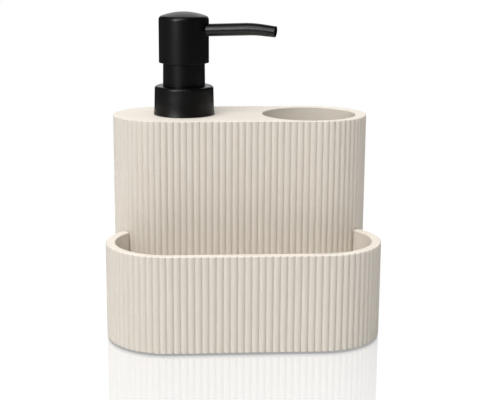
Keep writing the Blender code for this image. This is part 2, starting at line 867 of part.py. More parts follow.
def make_spout():
    """The spout: a thin tube pressed into the head, kneed near its end and tapering to its tip."""
    end = SPOUT_KNEE + SPOUT_TIP
    narrowing = (SPOUT_TIP_RADIUS - SPOUT_RADIUS) / (DOME_STEPS + 1)
    taper = [SPOUT_RADIUS] + [SPOUT_RADIUS + narrowing * i for i in range(DOME_STEPS + 2)]
    mesh = swept("spout", spout_line(SPOUT_START, end), taper, SPOUT_RESOLUTION)
    spout = part("spout", mesh, black_plastic, head_axis)
    inside = spout_line(SPOUT_START - OVERRUN, end + OVERRUN)
    bore = swept("spout_bore", inside, [radius - SPOUT_WALL for radius in taper], SPOUT_RESOLUTION)
    cut(spout, cutter("spout_bore", bore, head_axis))
    smooth(spout)


clear_scene()
parts = collection("Soap dispenser")
cutters = collection("Cutters")

resin = material("Stone resin", (0.72, 0.67, 0.59), 0.75)
black_plastic = material("Black satin plastic", (0.012, 0.012, 0.013), 0.35)
clear_plastic = material("Natural plastic", (0.78, 0.80, 0.80), 0.30)
rubber = material("Rubber", (0.05, 0.05, 0.05), 0.80)
steel = material("Stainless steel", (0.60, 0.60, 0.62), 0.25, 1.0)

pump_axis = axis_empty("pump_axis", (pump_x, body_y, top_face))
closure_axis = axis_empty("closure_axis", (pump_x, body_y, top_face))
head_axis = axis_empty("head_axis", (pump_x, body_y, top_face))

casting = make_body()
make_base_plate(casting)
make_tray(casting)
make_feet()
make_neck_insert()
make_gasket()
make_housing()
make_guide_bush()
make_dip_tube()
make_closure()
make_collar()
make_sleeve()
make_stem()
make_plunger()
make_piston()
make_spring()
make_ball_cage()
make_ball()
make_head()
make_head_insert()
make_spout()
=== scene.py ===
"""A counter-top soap dispenser set dressed for its photograph: a fluted casting with a pump and a brush
well, and a fluted sponge tray in front of it. Sizes are in millimetres, but for the lamps' and floor's."""
import math

import bmesh
import bpy
from mathutils import Matrix, Vector


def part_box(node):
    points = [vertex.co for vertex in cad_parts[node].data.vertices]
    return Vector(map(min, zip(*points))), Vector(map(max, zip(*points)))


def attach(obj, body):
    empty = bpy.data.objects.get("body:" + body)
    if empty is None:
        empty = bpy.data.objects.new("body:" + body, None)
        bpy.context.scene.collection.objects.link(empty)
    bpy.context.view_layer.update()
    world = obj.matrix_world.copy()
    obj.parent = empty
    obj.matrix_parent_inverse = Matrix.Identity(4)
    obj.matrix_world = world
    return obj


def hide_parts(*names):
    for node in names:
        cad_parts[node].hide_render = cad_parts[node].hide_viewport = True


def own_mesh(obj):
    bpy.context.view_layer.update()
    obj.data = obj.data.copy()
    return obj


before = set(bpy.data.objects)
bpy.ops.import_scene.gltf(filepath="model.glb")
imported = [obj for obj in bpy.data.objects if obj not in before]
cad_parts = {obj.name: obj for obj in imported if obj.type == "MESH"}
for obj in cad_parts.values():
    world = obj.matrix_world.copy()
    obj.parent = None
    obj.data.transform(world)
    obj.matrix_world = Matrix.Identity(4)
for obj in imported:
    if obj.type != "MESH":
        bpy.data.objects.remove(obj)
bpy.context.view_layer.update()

MM = 0.001
MERGE = 0.01 * MM

# The castings' flutes, deeper than the solids' as the photograph shows them, and the castings' edges
FLUTE_DEPTH = 1.2
RIB_STEPS = 12
BODY_EDGE_ROUND = 0.45
TRAY_EDGE_ROUND = 0.70
LIP_FLAT = 0.4
LIP_STEPS = 8
FOOT_ROUND = 0.35
FOOT_FLAT = 0.5
FOOT_STEPS = 3
SEAM_GAP = 0.06

BODY_LENGTH = 172.0
BODY_DEPTH = 72.0
BODY_FLUTES = 100
BODY_PHASE = 0.38
TRAY_LENGTH = 180.0
TRAY_DEPTH = 83.0
TRAY_FLUTES = 102
TRAY_PHASE = 0.61
CREST_INSET = 0.06
GLUE_LINE = 0.3

WELL_RADIUS = 31.5
WELL_END_WALL = 7.7
WELL_FLOOR = 14.0
WELL_FILLET = 6.0
WELL_WEB = 7.5
RESERVOIR_WALL = 6.5
RESERVOIR_ROOF = 10.0
PLATE_LEDGE = 2.5
PLATE_REBATE = 5.3
NECK_HOLE_RADIUS = 15.3
NECK_HOLE_DEPTH = 12.0
RIM_ROUND = 0.8
RIM_SLACK = 0.05
TRAY_WALL = 6.2
TRAY_FLOOR = 6.0
TRAY_FILLET = 5.0

# How far a cutter stands out of what it cuts, and how much of a block's half depth its round ends take
OVERRUN = 2.0
NEARLY_ALL = 0.9999

# Places in the row frame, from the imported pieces' own boxes
body_low, body_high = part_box("body")
tray_low, tray_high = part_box("tray")
collar_low, collar_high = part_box("collar")
pump_x = (collar_low.x + collar_high.x) / 2
body_y = (body_low.y + body_high.y) / 2
tray_y = tray_low.y + TRAY_DEPTH / 2 * MM
top_face = body_high.z
well_x = body_high.x - (WELL_END_WALL + WELL_RADIUS) * MM


def deselect():
    """Leave nothing selected before a new piece is started."""
    if bpy.context.object and bpy.context.object.mode != "OBJECT":
        bpy.ops.object.mode_set(mode="OBJECT")
    bpy.ops.object.select_all(action="DESELECT")


def pick(*pieces):
    """Select only these objects, the last one active."""
    deselect()
    for piece in pieces:
        piece.select_set(True)
        bpy.context.view_layer.objects.active = piece


def edit(piece):
    """Go into edit mode on one piece with nothing selected."""
    pick(piece)
    bpy.ops.object.mode_set(mode="EDIT")
    bpy.ops.mesh.select_mode(type="VERT")
    bpy.ops.mesh.select_all(action="DESELECT")


def select_where(piece, kind, test):
    """In edit mode, select the edges or faces that pass a test, and nothing else."""
    bpy.ops.mesh.select_mode(type=kind)
    bpy.ops.mesh.select_all(action="DESELECT")
    shape = bmesh.from_edit_mesh(piece.data)
    for element in {"EDGE": shape.edges, "FACE": shape.faces}[kind]:
        if test(element):
            element.select = True
    shape.select_flush_mode()
    bmesh.update_edit_mesh(piece.data)


def tidy_mesh(piece):
    """Merge doubles and turn the faces outwards."""
    edit(piece)
    bpy.ops.mesh.select_all(action="SELECT")
    bpy.ops.mesh.remove_doubles(threshold=MERGE)
    bpy.ops.mesh.normals_make_consistent(inside=False)
    bpy.ops.object.mode_set(mode="OBJECT")


def apply_all(piece):
    """Apply every modifier of a piece, in order."""
    pick(piece)
    for modifier in list(piece.modifiers):
        bpy.ops.object.modifier_apply(modifier=modifier.name)


def to_origin(piece):
    """Put a piece's place into its mesh."""
    pick(piece)
    bpy.ops.object.transform_apply(location=True, rotation=True, scale=True)


def smooth(piece, degrees=30):
    """Smooth shading with real edges kept crisp and flat faces kept flat."""
    pick(piece)
    bpy.ops.object.shade_smooth_by_angle(angle=math.radians(degrees))
    weighted = piece.modifiers.new("Flat faces stay flat", "WEIGHTED_NORMAL")
    weighted.keep_sharp = True
    weighted.weight = 90
    apply_all(piece)


def subtract(piece, *tools):
    """Take cutters away from a piece and delete them."""
    for tool in tools:
        boolean = piece.modifiers.new("Cut", "BOOLEAN")
        boolean.operation = "DIFFERENCE"
        boolean.solver = "EXACT"
        boolean.object = tool
    apply_all(piece)
    for tool in tools:
        bpy.data.objects.remove(tool)


def dress(piece, finish, slot, body, *nodes):
    """Give a finished piece its material and the body it rides on, and hide the nodes it stands for. The
    slot is not used.
    """
    piece.data.materials.clear()
    piece.data.materials.append(finish)
    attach(piece, body)
    if nodes:
        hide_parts(*nodes)


# Shader arithmetic


class Socket:
    """A node's output that takes part in sums and products."""

    def __init__(self, finish, output):
        self.finish = finish
        self.output = output

    def maths(self, operation, first, second):
        return self.finish.node("Math", {0: first, 1: second}, operation=operation)

    def size(self):
        """The value without its sign."""
        return self.maths("ABSOLUTE", self, 0.0)

    def above_zero(self):
        """The value where it is above zero, and zero elsewhere."""
        return self.maths("MAXIMUM", self, 0.0)

    def beside(self, name):
        """Another output of the same node."""
        return Socket(self.finish, self.output.node.outputs[name])

    def __add__(self, other):
        return self.maths("ADD", self, other)

    def __sub__(self, other):
        return self.maths("SUBTRACT", self, other)

    def __rsub__(self, other):
        return self.maths("SUBTRACT", other, self)

    def __mul__(self, other):
        return self.maths("MULTIPLY", self, other)

    __radd__ = __add__
    __rmul__ = __mul__


class Finish:
    """A node tree that is written as expressions."""

    def __init__(self, owner):
        owner.use_nodes = True
        self.owner = owner
        self.tree = owner.node_tree
        self.tree.nodes.clear()

    def node(self, kind, sockets, out=0, **settings):
        """Add a node, make its settings, fill its sockets with values or links, and return one output."""
        node = self.tree.nodes.new("ShaderNode" + kind)
        for name, value in settings.items():
            setattr(node, name, value)
        for name, value in sockets.items():
            if isinstance(value, Socket):
                self.tree.links.new(value.output, node.inputs[name])
            else:
                node.inputs[name].default_value = value
        return Socket(self, node.outputs[out]) if node.outputs else None

    def place(self):
        """The point on the object, in metres."""
        return self.node("TexCoord", {}, "Object")

    def across_and_along(self):
        """That point's X and Y."""
        across = self.node("SeparateXYZ", {0: self.place()}, "X")
        return across, across.beside("Y")

    def noise(self, scale, detail, roughness=0.5):
        """Cloudy variation from 0 to 1, with this many cells a metre."""
        sockets = {"Vector": self.place(), "Scale": scale, "Detail": detail, "Roughness": roughness}
        return self.node("TexNoise", sockets)

    def step(self, value, low, high, first=0.0, last=1.0):
        """A soft step from first to last as the value goes from low to high."""
        sockets = {0: value, 1: low, 2: high, 3: first, 4: last}
        return self.node("MapRange", sockets, interpolation_type="SMOOTHSTEP")

    def blend(self, share, first, second):
        """One colour going over into another."""
        return self.node("Mix", {0: share, 6: first, 7: second}, 2, data_type="RGBA")

    def bump(self, height, depth, normal=None):
        """Relief of this depth in millimetres from a height of 0 to 1."""
        sockets = {"Height": height, "Distance": depth * MM, "Strength": 1.0}
        if normal:
            sockets["Normal"] = normal
        return self.node("Bump", sockets)

    def surface(self, sockets):
        """The main shader, linked to the output."""
        shader = self.node("BsdfPrincipled", sockets)
        self.node("OutputMaterial", {"Surface": shader})
        return self.owner


WHITE = (1.0, 1.0, 1.0, 1.0)


def grey(level):
    """An even tone as a colour."""
    return (level, level, level, 1.0)


def new_finish(name):
    """A new material, ready for its nodes."""
    return Finish(bpy.data.materials.new(name))


def stone_resin(name, shade):
    """Matt cast resin with stone filler: warm off-white, faintly clouded, with fine grain and pin holes.
    Below 1.0 the shade makes a darker copy of the resin, painted shade that stands in for less light."""
    finish = new_finish(name)
    low = (0.712 * shade, 0.655 * shade, 0.578 * shade, 1.0)
    high = (0.772 * shade, 0.720 * shade, 0.648 * shade, 1.0)
    clouds = finish.noise(26.0, 3.0)
    grain = finish.noise(2400.0, 2.0)
    specks = finish.step(finish.noise(900.0, 1.0), 0.70, 0.78)
    tone = 0.55 * clouds + 0.45 * grain
    colour = finish.blend(tone, low, high)
    colour = finish.blend(0.25 * specks, colour, (0.62, 0.56, 0.48, 1.0))
    pin_holes = finish.step(finish.noise(520.0, 0.0), 0.20, 0.26)
    skin = finish.noise(170.0, 2.0)
    relief = finish.bump(skin, 0.05)
    relief = finish.bump(0.35 * grain + pin_holes, 0.03, relief)
    return finish.surface(
        {
            "Base Color": colour,
            "Roughness": 0.60 + 0.14 * grain,
            "Normal": relief,
            "IOR": 1.47,
            "Specular IOR Level": 0.35,
        }
    )


def black_plastic():
    """Satin black moulded plastic with the fine sparkle of a textured mould and faint handling marks."""
    finish = new_finish("satin_black_plastic")
    grain = finish.noise(5200.0, 2.0)
    haze = finish.noise(60.0, 4.0, 0.6)
    colour = finish.blend(haze, (0.0011, 0.0011, 0.0012, 1.0), (0.0018, 0.0018, 0.0019, 1.0))
    rubbed = finish.step(haze, 0.55, 0.75, 0.0, 0.06)
    return finish.surface(
        {
            "Base Color": colour,
            "Roughness": 0.33 + 0.05 * grain + rubbed,
            "Normal": finish.bump(grain, 0.004),
            "IOR": 1.46,
        }
    )


def natural_plastic():
    """Milky unpigmented plastic, as the inner pieces of a pump are moulded in."""
    finish = new_finish("milky_natural_plastic")
    clouds = finish.noise(180.0, 3.0)
    grain = finish.noise(3000.0, 1.0)
    colour = finish.blend(clouds, (0.70, 0.72, 0.71, 1.0), (0.80, 0.82, 0.81, 1.0))
    return finish.surface(
        {
            "Base Color": colour,
            "Roughness": 0.30 + 0.10 * clouds,
            "Normal": finish.bump(grain, 0.005),
            "IOR": 1.49,
            "Transmission Weight": 0.25,
        }
    )


def rubber():
    """Soft black rubber with a dusty, finely grained face."""
    finish = new_finish("soft_rubber")
    grain = finish.noise(2600.0, 3.0)
    dust = finish.noise(240.0, 4.0, 0.65)
    colour = finish.blend(dust, (0.022, 0.022, 0.022, 1.0), (0.055, 0.054, 0.052, 1.0))
    return finish.surface(
        {
            "Base Color": colour,
            "Roughness": 0.72 + 0.2 * dust,
            "Normal": finish.bump(grain, 0.02),
        }
    )


def steel():
    """Bright drawn stainless steel, with fine marks and small changes in tone."""
    finish = new_finish("drawn_stainless_steel")
    marks = finish.noise(4200.0, 3.0)
    tone = finish.noise(400.0, 2.0)
    colour = finish.blend(tone, (0.52, 0.52, 0.53, 1.0), (0.66, 0.66, 0.67, 1.0))
    return finish.surface(
        {
            "Base Color": colour,
            "Metallic": 1.0,
            "Roughness": 0.18 + 0.18 * marks,
            "Normal": finish.bump(marks, 0.003),
        }
    )


# Camera, light and floor

LENS = 84.73
SENSOR_WIDTH = 36.0
NEAREST_SEEN = 0.01
CAMERA_AWAY = 805.9
CAMERA_TARGET = (5.372, 26.85, 80.018)
CAMERA_YAW = math.radians(3.873)
CAMERA_DOWN = math.radians(12.756)
CAMERA_ROLL = math.radians(0.387)

# Lamps: metres, watts, and in degrees how far right of the front and how high they stand
LAMP_AWAY = 2.0
LAMP_AIM = Vector((0.0, 0.0, 0.08))
SOFTBOXES = (
    # name, azimuth, elevation, width, height, power, seen in reflections alone
    ("key_highlight", -34.0, 52.0, 1.20, 1.00, 12.0, True),
    ("low_highlight", -40.0, 22.0, 0.60, 0.60, 17.0, True),
    ("key_softbox", -31.0, 57.0, 1.40, 1.20, 27.5, False),
    ("side_softbox", -50.0, 28.0, 1.40, 1.20, 4.6, False),
)
PANEL_PLACE = (0.0, 0.0, 1.2)
PANEL_STRENGTH = 0.95
PANEL_SPREAD = math.radians(30.0)

# The studio's own light, and what the plastic mirrors of it
AMBIENT = 0.45
BACKDROP = 1.10
BACKDROP_CENTRE = 0.06
LEFT_GLOW = 0.12
RIGHT_GLOW = 0.06

# The floor's radius and height, in metres
FLOOR_RADIUS = 0.45
FLOOR_LEVEL = -0.0002

# How lit the camera finds the floor, tones for bounced light and the camera, and painted shadow under the
# castings
FLOOR_LIFT = 0.88
BOUNCED_TONE = 0.64
SEEN_TONE = 0.12
PAINTED_SHADOW_TONE = 0.65

# The least share of mirror in the floor, and how rough that mirror is
LEAST_POLISH = 0.05
POLISH_ROUGHNESS = 0.05

# How far inside a casting's outline the painted shadow is full and how far in it begins, in millimetres
CONTACT_FULL = 0.6
CONTACT_START = 0.2


def add_camera():
    """The camera at the photograph's place, worked out from the outlines of the castings and the pump."""
    level = math.cos(CAMERA_DOWN)
    ahead = Vector((math.sin(CAMERA_YAW) * level, math.cos(CAMERA_YAW) * level, -math.sin(CAMERA_DOWN)))
    right = Vector((math.cos(CAMERA_YAW), -math.sin(CAMERA_YAW), 0.0))
    up = right.cross(ahead)
    turn = Matrix.Rotation(-CAMERA_ROLL, 3, ahead)
    right, up = turn @ right, turn @ up
    bpy.ops.object.camera_add()
    camera = bpy.context.object
    camera.name = "photo_camera"
    axes = Matrix((right, up, -ahead)).transposed().to_4x4()
    place = Vector(CAMERA_TARGET) * MM - ahead * CAMERA_AWAY * MM
    camera.matrix_world = Matrix.Translation(place) @ axes
    camera.data.sensor_fit = "HORIZONTAL"
    camera.data.sensor_width = SENSOR_WIDTH
    camera.data.lens = LENS
    camera.data.clip_start = NEAREST_SEEN
    bpy.context.scene.camera = camera


def add_softbox(name, azimuth, elevation, width, height, power, mirrored):
    """A soft lamp aimed at the middle of the set; azimuth 0 is straight in front, less is to the left.
    One that is mirrored shows as a highlight only, the other kind lights without one."""
    turn, tilt = math.radians(azimuth), math.radians(elevation)
    level = math.cos(tilt)
    towards = Vector((math.sin(turn) * level, -math.cos(turn) * level, math.sin(tilt)))
    bpy.ops.object.light_add(type="AREA", location=LAMP_AIM + towards * LAMP_AWAY)
    lamp = bpy.context.object
    lamp.name = name
    lamp.rotation_euler = towards.to_track_quat("Z", "Y").to_euler()
    lamp.data.shape = "RECTANGLE"
    lamp.data.size = width
    lamp.data.size_y = height
    lamp.data.energy = power
    lamp.visible_camera = False
    lamp.visible_glossy = mirrored
    lamp.visible_diffuse = not mirrored


def add_sky_panel():
    """A far panel straight above that lights what faces up and leaves no mirror image in the plastic."""
    bpy.ops.object.light_add(type="SUN", location=PANEL_PLACE)
    lamp = bpy.context.object
    lamp.name = "overhead_panel"
    lamp.data.energy = PANEL_STRENGTH
    lamp.data.angle = PANEL_SPREAD
    lamp.visible_camera = False
    lamp.visible_glossy = False


def add_world():
    """An even studio: white to the camera, and in reflections white behind the set from the horizon up to
    half way overhead, faint at both sides, and dark below the horizon and behind the camera."""
    world = bpy.data.worlds.new("studio")
    bpy.context.scene.world = world
    studio = Finish(world)
    rays = studio.node("LightPath", {}, "Is Camera Ray")
    glossy = rays.beside("Is Glossy Ray")
    through = rays.beside("Is Transmission Ray")
    direction = studio.node("TexCoord", {}, "Generated")
    across = studio.node("SeparateXYZ", {0: direction}, "X")
    depth, height = across.beside("Y"), across.beside("Z")
    aside = (across - BACKDROP_CENTRE).size()
    behind = studio.step(depth, 0.30, 0.90, 0.0, BACKDROP) * studio.step(height, -0.05, 0.10)
    behind = behind * studio.step(aside, 0.20, 0.45, 1.0, 0.0)
    left = studio.step(across * -1.0, 0.30, 0.90, 0.0, LEFT_GLOW)
    right = studio.step(across, 0.35, 0.95, 0.0, RIGHT_GLOW)
    seen = rays + through
    level = seen + (1.0 - seen) * (glossy * (behind + left + right) + (1.0 - glossy) * AMBIENT)
    light = studio.node("Background", {"Color": WHITE, "Strength": level})
    studio.node("OutputWorld", {"Surface": light})


def painted_shadow_mask(finish, length, depth, centre_y):
    """A mask for painted shadow: 1 on the floor under a casting of this plan and 0 beside it."""
    across, along = finish.across_and_along()
    beyond = (across.size() - (length - depth) / 2 * MM).above_zero()
    off = along - centre_y
    inner, outer = (depth / 2 - CONTACT_FULL) * MM, (depth / 2 - CONTACT_START) * MM
    return finish.step(beyond * beyond + off * off, inner**2, outer**2, 1.0, 0.0)


def add_floor():
    """A white floor that keeps the set's shadow, with painted shadow under the castings and in front of the
    set a faint reflection.
    """
    deselect()
    place = (0, 0, FLOOR_LEVEL)
    bpy.ops.mesh.primitive_circle_add(vertices=96, radius=FLOOR_RADIUS, fill_type="NGON", location=place)
    floor = bpy.context.object
    floor.name = "studio_floor"
    to_origin(floor)
    finish = new_finish("white_floor")
    rays = finish.node("LightPath", {}, "Is Camera Ray")
    # The floor's glow is painted darker under the castings' outlines: a painted shadow where they stand.
    painted_shadow = painted_shadow_mask(finish, BODY_LENGTH, BODY_DEPTH, body_y)
    painted_shadow = painted_shadow + painted_shadow_mask(finish, TRAY_LENGTH, TRAY_DEPTH, tray_y)
    board = finish.node(
        "BsdfPrincipled",
        {
            "Base Color": finish.blend(rays, grey(BOUNCED_TONE), grey(SEEN_TONE)),
            "Roughness": 0.60,
            "Specular IOR Level": 0.0,
            "Emission Color": finish.blend(painted_shadow, WHITE, grey(PAINTED_SHADOW_TONE)),
            "Emission Strength": FLOOR_LIFT * rays,
        },
    )
    bright = {"Base Color": WHITE, "Metallic": 1.0, "Roughness": POLISH_ROUGHNESS}
    mirror = finish.node("BsdfPrincipled", bright)
    across, along = finish.across_and_along()
    in_front = finish.step(along, -0.30, -0.06, 0.05, 0.31) * finish.step(along, 0.0, 0.06, 1.0, 0.0)
    in_front = in_front * finish.step(along, -0.24, -0.14)
    share = LEAST_POLISH + in_front * finish.step(across.size(), 0.11, 0.18, 1.0, 0.0)
    polished = finish.node("MixShader", {0: share, 1: board, 2: mirror})
    finish.node("OutputMaterial", {"Surface": polished})
    floor.data.materials.append(finish.owner)


add_camera()
add_world()
add_floor()
for softbox in SOFTBOXES:
    add_softbox(*softbox)
add_sky_panel()
bpy.context.scene.view_settings.view_transform = "Standard"

RESIN = stone_resin("cast_stone_resin", 1.0)
# The tray gets a darker copy of the resin: painted shade, for less light on the tray.
TRAY_RESIN_PAINTED_DARKER = stone_resin("tray_stone_resin_painted_darker", 0.97)
BLACK = black_plastic()
NATURAL = natural_plastic()
RUBBER = rubber()
STEEL = steel()

# Turned pieces


def rounded(corners, steps=4):
    """A profile's points from (radius, height, rounding) corners, each rounding made an arc."""
    points = []
    count = len(corners)
    for i, (radius, height, rounding) in enumerate(corners):
        corner = Vector((radius, height))
        if not rounding:
            points.append(corner)
            continue
        before = (Vector(corners[i - 1][:2]) - corner).normalized()
        after = (Vector(corners[(i + 1) % count][:2]) - corner).normalized()
        half = before.angle(after) / 2
        middle = corner + (before + after).normalized() * rounding / math.sin(half)
        start = corner + before * rounding / math.tan(half) - middle
        end = corner + after * rounding / math.tan(half) - middle
        for step in range(steps + 1):
            points.append(middle + start.slerp(end, step / steps) * rounding)
    return points


def lathe(name, points, sides=96, closed=True, centre=None):
    """A turned piece: a point is extruded into its profile of (radius, height), which is then spun."""
    x, y, base = centre or (pump_x, body_y, top_face)
    deselect()
    bpy.ops.mesh.primitive_plane_add(size=MM, location=(0, 0, 0))
    piece = bpy.context.object
    piece.name = name
    bpy.ops.object.mode_set(mode="EDIT")
    bpy.ops.mesh.select_mode(type="VERT")
    bpy.ops.mesh.select_all(action="SELECT")
    bpy.ops.mesh.merge(type="CENTER")
    places = [Vector((x + radius * MM, y, base + height * MM)) for radius, height in points]
    if closed:
        places.append(places[0])
    bpy.ops.transform.translate(value=places[0])
    for here, there in zip(places, places[1:]):
        bpy.ops.mesh.extrude_region_move(TRANSFORM_OT_translate={"value": there - here})
    bpy.ops.mesh.select_all(action="SELECT")
    bpy.ops.mesh.spin(steps=sides, angle=math.tau, center=(x, y, base), axis=(0, 0, 1))
    bpy.ops.object.mode_set(mode="OBJECT")
    tidy_mesh(piece)
    return piece


# Fluted castings


def outline_path(length, depth, start):
    """A guide curve round a casting, counter-clockwise from this far right of the middle of its front,
    which is its last point, since a closed curve is followed from there."""
    radius = depth / 2
    half = length / 2 - radius
    pull = radius * 4 / 3 * math.tan(math.pi / 8)
    stops = [
        ((half, -radius), (-1, 0), 1.0, pull),
        ((half + radius, 0), (0, -1), pull, pull),
        ((half, radius), (1, 0), pull, 1.0),
        ((-half, radius), (1, 0), 1.0, pull),
        ((-half - radius, 0), (0, 1), pull, pull),
        ((-half, -radius), (-1, 0), pull, 1.0),
        ((start, -radius), (-1, 0), 1.0, 1.0),
    ]
    path = bpy.data.curves.new("outline", "CURVE")
    path.dimensions = "3D"
    path.resolution_u = 64
    spline = path.splines.new("BEZIER")
    spline.bezier_points.add(len(stops) - 1)
    spline.use_cyclic_u = True
    for point, ((x, y), back, before, after) in zip(spline.bezier_points, stops):
        here = Vector((x, y, 0.0))
        backwards = Vector((*back, 0.0))
        point.handle_left_type = "FREE"
        point.handle_right_type = "FREE"
        point.co = here * MM
        point.handle_left = (here + backwards * before) * MM
        point.handle_right = (here - backwards * after) * MM
    guide = bpy.data.objects.new("outline", path)
    bpy.context.scene.collection.objects.link(guide)
    return guide


def wall_rows(low, high, lip):
    """How far in and how high each row of a fluted wall is: foot turned in, plain wall, lip turned in."""
    rows = [(FOOT_ROUND + FOOT_FLAT, low)]
    for i in range(FOOT_STEPS + 1):
        angle = math.pi / 2 * i / FOOT_STEPS
        rows.append((FOOT_ROUND * (1 - math.sin(angle)), low + FOOT_ROUND * (1 - math.cos(angle))))
    for i in range(LIP_STEPS + 1):
        angle = math.pi / 2 * i / LIP_STEPS
        rows.append((lip * (1 - math.cos(angle)), high - lip * (1 - math.sin(angle))))
    rows.append((lip + LIP_FLAT, high))
    return rows


def fluted_casting(name, length, depth, flutes, phase, lip, centre_y, low, high):
    """A fluted block: one rib is shaped, repeated along a line, and the row is bent round the outline."""
    pitch = (2 * (length - depth) + math.pi * depth) / flutes
    rib_radius = (pitch**2 / 4 + FLUTE_DEPTH**2) / (2 * FLUTE_DEPTH)
    swing = math.asin(pitch / 2 / rib_radius)
    rows = wall_rows(low / MM, high / MM, lip)
    deselect()
    bpy.ops.mesh.primitive_grid_add(x_subdivisions=RIB_STEPS, y_subdivisions=len(rows) - 1, size=1)
    casting = bpy.context.object
    casting.name = name
    for vert in casting.data.vertices:
        angle = 2 * vert.co.x * swing
        across = pitch / 2 + rib_radius * math.sin(angle)
        inset, level = rows[round((vert.co.y + 0.5) * (len(rows) - 1))]
        inset += CREST_INSET + rib_radius * (1 - math.cos(angle))
        vert.co = Vector((across, inset, level)) * MM
    row = casting.modifiers.new("Row of ribs", "ARRAY")
    row.count = flutes
    row.use_relative_offset = False
    row.use_constant_offset = True
    row.constant_offset_displace = (pitch * MM, 0.0, 0.0)
    row.use_merge_vertices = True
    row.merge_threshold = MERGE
    guide = outline_path(length, depth, phase * pitch)
    bend = casting.modifiers.new("Bent round", "CURVE")
    bend.object = guide
    bend.deform_axis = "POS_X"
    apply_all(casting)
    bpy.data.objects.remove(guide)
    edit(casting)
    bpy.ops.mesh.select_all(action="SELECT")
    bpy.ops.mesh.remove_doubles(threshold=SEAM_GAP * MM)
    for level in (low, high):

        def open_edge(edge):
            return edge.is_boundary and abs(edge.verts[0].co.z - level) < MERGE

        select_where(casting, "EDGE", open_edge)
        bpy.ops.mesh.edge_face_add()
    bpy.ops.mesh.select_all(action="SELECT")
    bpy.ops.mesh.normals_make_consistent(inside=False)
    bpy.ops.object.mode_set(mode="OBJECT")
    casting.location = (0.0, centre_y, 0.0)
    to_origin(casting)
    return casting


def stadium_block(name, length, depth, low, high, centre=(0.0, 0.0), fillet=0.0):
    """A block with round ends, from a cube whose upright edges and then, if asked, its foot are bevelled."""
    deselect()
    bpy.ops.mesh.primitive_cube_add(size=1, location=(*centre, (low + high) / 2))
    block = bpy.context.object
    block.name = name
    block.scale = (length * MM, depth * MM, high - low)
    to_origin(block)
    edit(block)
    select_where(block, "EDGE", lambda edge: abs(edge.verts[0].co.z - edge.verts[1].co.z) > MERGE)
    bpy.ops.mesh.bevel(offset=depth / 2 * MM * NEARLY_ALL, segments=32, affect="EDGES")
    if fillet:
        select_where(block, "FACE", lambda face: face.normal.z < -0.99)
        bpy.ops.mesh.bevel(offset=fillet * MM, segments=8, affect="EDGES")
    bpy.ops.object.mode_set(mode="OBJECT")
    tidy_mesh(block)
    return block


def soften_rim(piece, test):
    """Bevel the edges of a hollow's rim that pass a test."""
    edit(piece)
    select_where(piece, "EDGE", test)
    bpy.ops.mesh.bevel(offset=RIM_ROUND * MM, segments=5, affect="EDGES", loop_slide=True)
    bpy.ops.object.mode_set(mode="OBJECT")


def make_body():
    """The tall casting with its brush well, its soap reservoir and the hole for the pump's neck."""
    size = (BODY_LENGTH, BODY_DEPTH, BODY_FLUTES, BODY_PHASE, BODY_EDGE_ROUND)
    casting = fluted_casting("fluted_casting", *size, body_y, body_low.z, body_high.z)
    floor = WELL_FLOOR + (body_low.z - top_face) / MM
    mouth = [(0, OVERRUN, 0), (WELL_RADIUS, OVERRUN, 0)]
    corners = mouth + [(WELL_RADIUS, floor, WELL_FILLET), (0, floor, 0)]
    well = lathe("well", rounded(corners, 10), 160, False, (well_x, body_y, top_face))
    mouth = [(0, OVERRUN), (NECK_HOLE_RADIUS, OVERRUN)]
    corners = mouth + [(NECK_HOLE_RADIUS, -NECK_HOLE_DEPTH), (0, -NECK_HOLE_DEPTH)]
    neck = lathe("neck_hole", [Vector(corner) for corner in corners], 96, False)
    left = RESERVOIR_WALL - BODY_LENGTH / 2
    right = BODY_LENGTH / 2 - WELL_END_WALL - 2 * WELL_RADIUS - WELL_WEB
    middle = ((left + right) / 2 * MM, body_y)
    plan = (right - left, BODY_DEPTH - 2 * RESERVOIR_WALL)
    wider = (plan[0] + 2 * PLATE_LEDGE, plan[1] + 2 * PLATE_LEDGE)
    below = body_low.z - OVERRUN * MM
    reservoir = stadium_block("reservoir", *plan, below, top_face - RESERVOIR_ROOF * MM, middle)
    rebate = stadium_block("rebate", *wider, below, body_low.z + PLATE_REBATE * MM, middle)
    subtract(casting, well, neck, reservoir, rebate)

    def well_rim(edge):
        ends = [vert.co for vert in edge.verts]
        away = [math.hypot(end.x - well_x, end.y - body_y) for end in ends]
        return all(abs(end.z - top_face) < MERGE for end in ends) and all(
            abs(a - WELL_RADIUS * MM) < RIM_SLACK * MM for a in away
        )

    soften_rim(casting, well_rim)
    smooth(casting)
    dress(casting, RESIN, "stone_resin", "holder", "body")


def make_tray():
    """The low casting: smooth pocket with a filleted floor, its back scribed to the tall casting."""
    size = (TRAY_LENGTH, TRAY_DEPTH, TRAY_FLUTES, TRAY_PHASE, TRAY_EDGE_ROUND)
    low, high = tray_low.z, tray_high.z
    casting = fluted_casting("fluted_tray", *size, tray_y, low, high)
    inner = (TRAY_LENGTH - 2 * TRAY_WALL, TRAY_DEPTH - 2 * TRAY_WALL)
    over = OVERRUN * MM
    floor, middle = low + TRAY_FLOOR * MM, (0.0, tray_y)
    pocket = stadium_block("pocket", *inner, floor, high + over, middle, TRAY_FILLET)
    wider = (BODY_LENGTH + 2 * GLUE_LINE, BODY_DEPTH + 2 * GLUE_LINE)
    scribe = stadium_block("scribe", *wider, low - over, high + over, (0.0, body_y))
    subtract(casting, pocket, scribe)
    half = inner[0] / 2 - inner[1] / 2

    def pocket_rim(edge):
        ends = [vert.co for vert in edge.verts]
        away = []
        for end in ends:
            beyond = max(abs(end.x) - half * MM, 0.0)
            away.append(math.hypot(beyond, end.y - tray_y))
        return all(abs(end.z - high) < MERGE for end in ends) and all(
            abs(a - inner[1] / 2 * MM) < RIM_SLACK * MM for a in away
        )

    soften_rim(casting, pocket_rim)
    smooth(casting)
    dress(casting, TRAY_RESIN_PAINTED_DARKER, "stone_resin", "holder", "tray")


# Pump: heights are over the tall casting's top, corners are (radius, height, rounding)

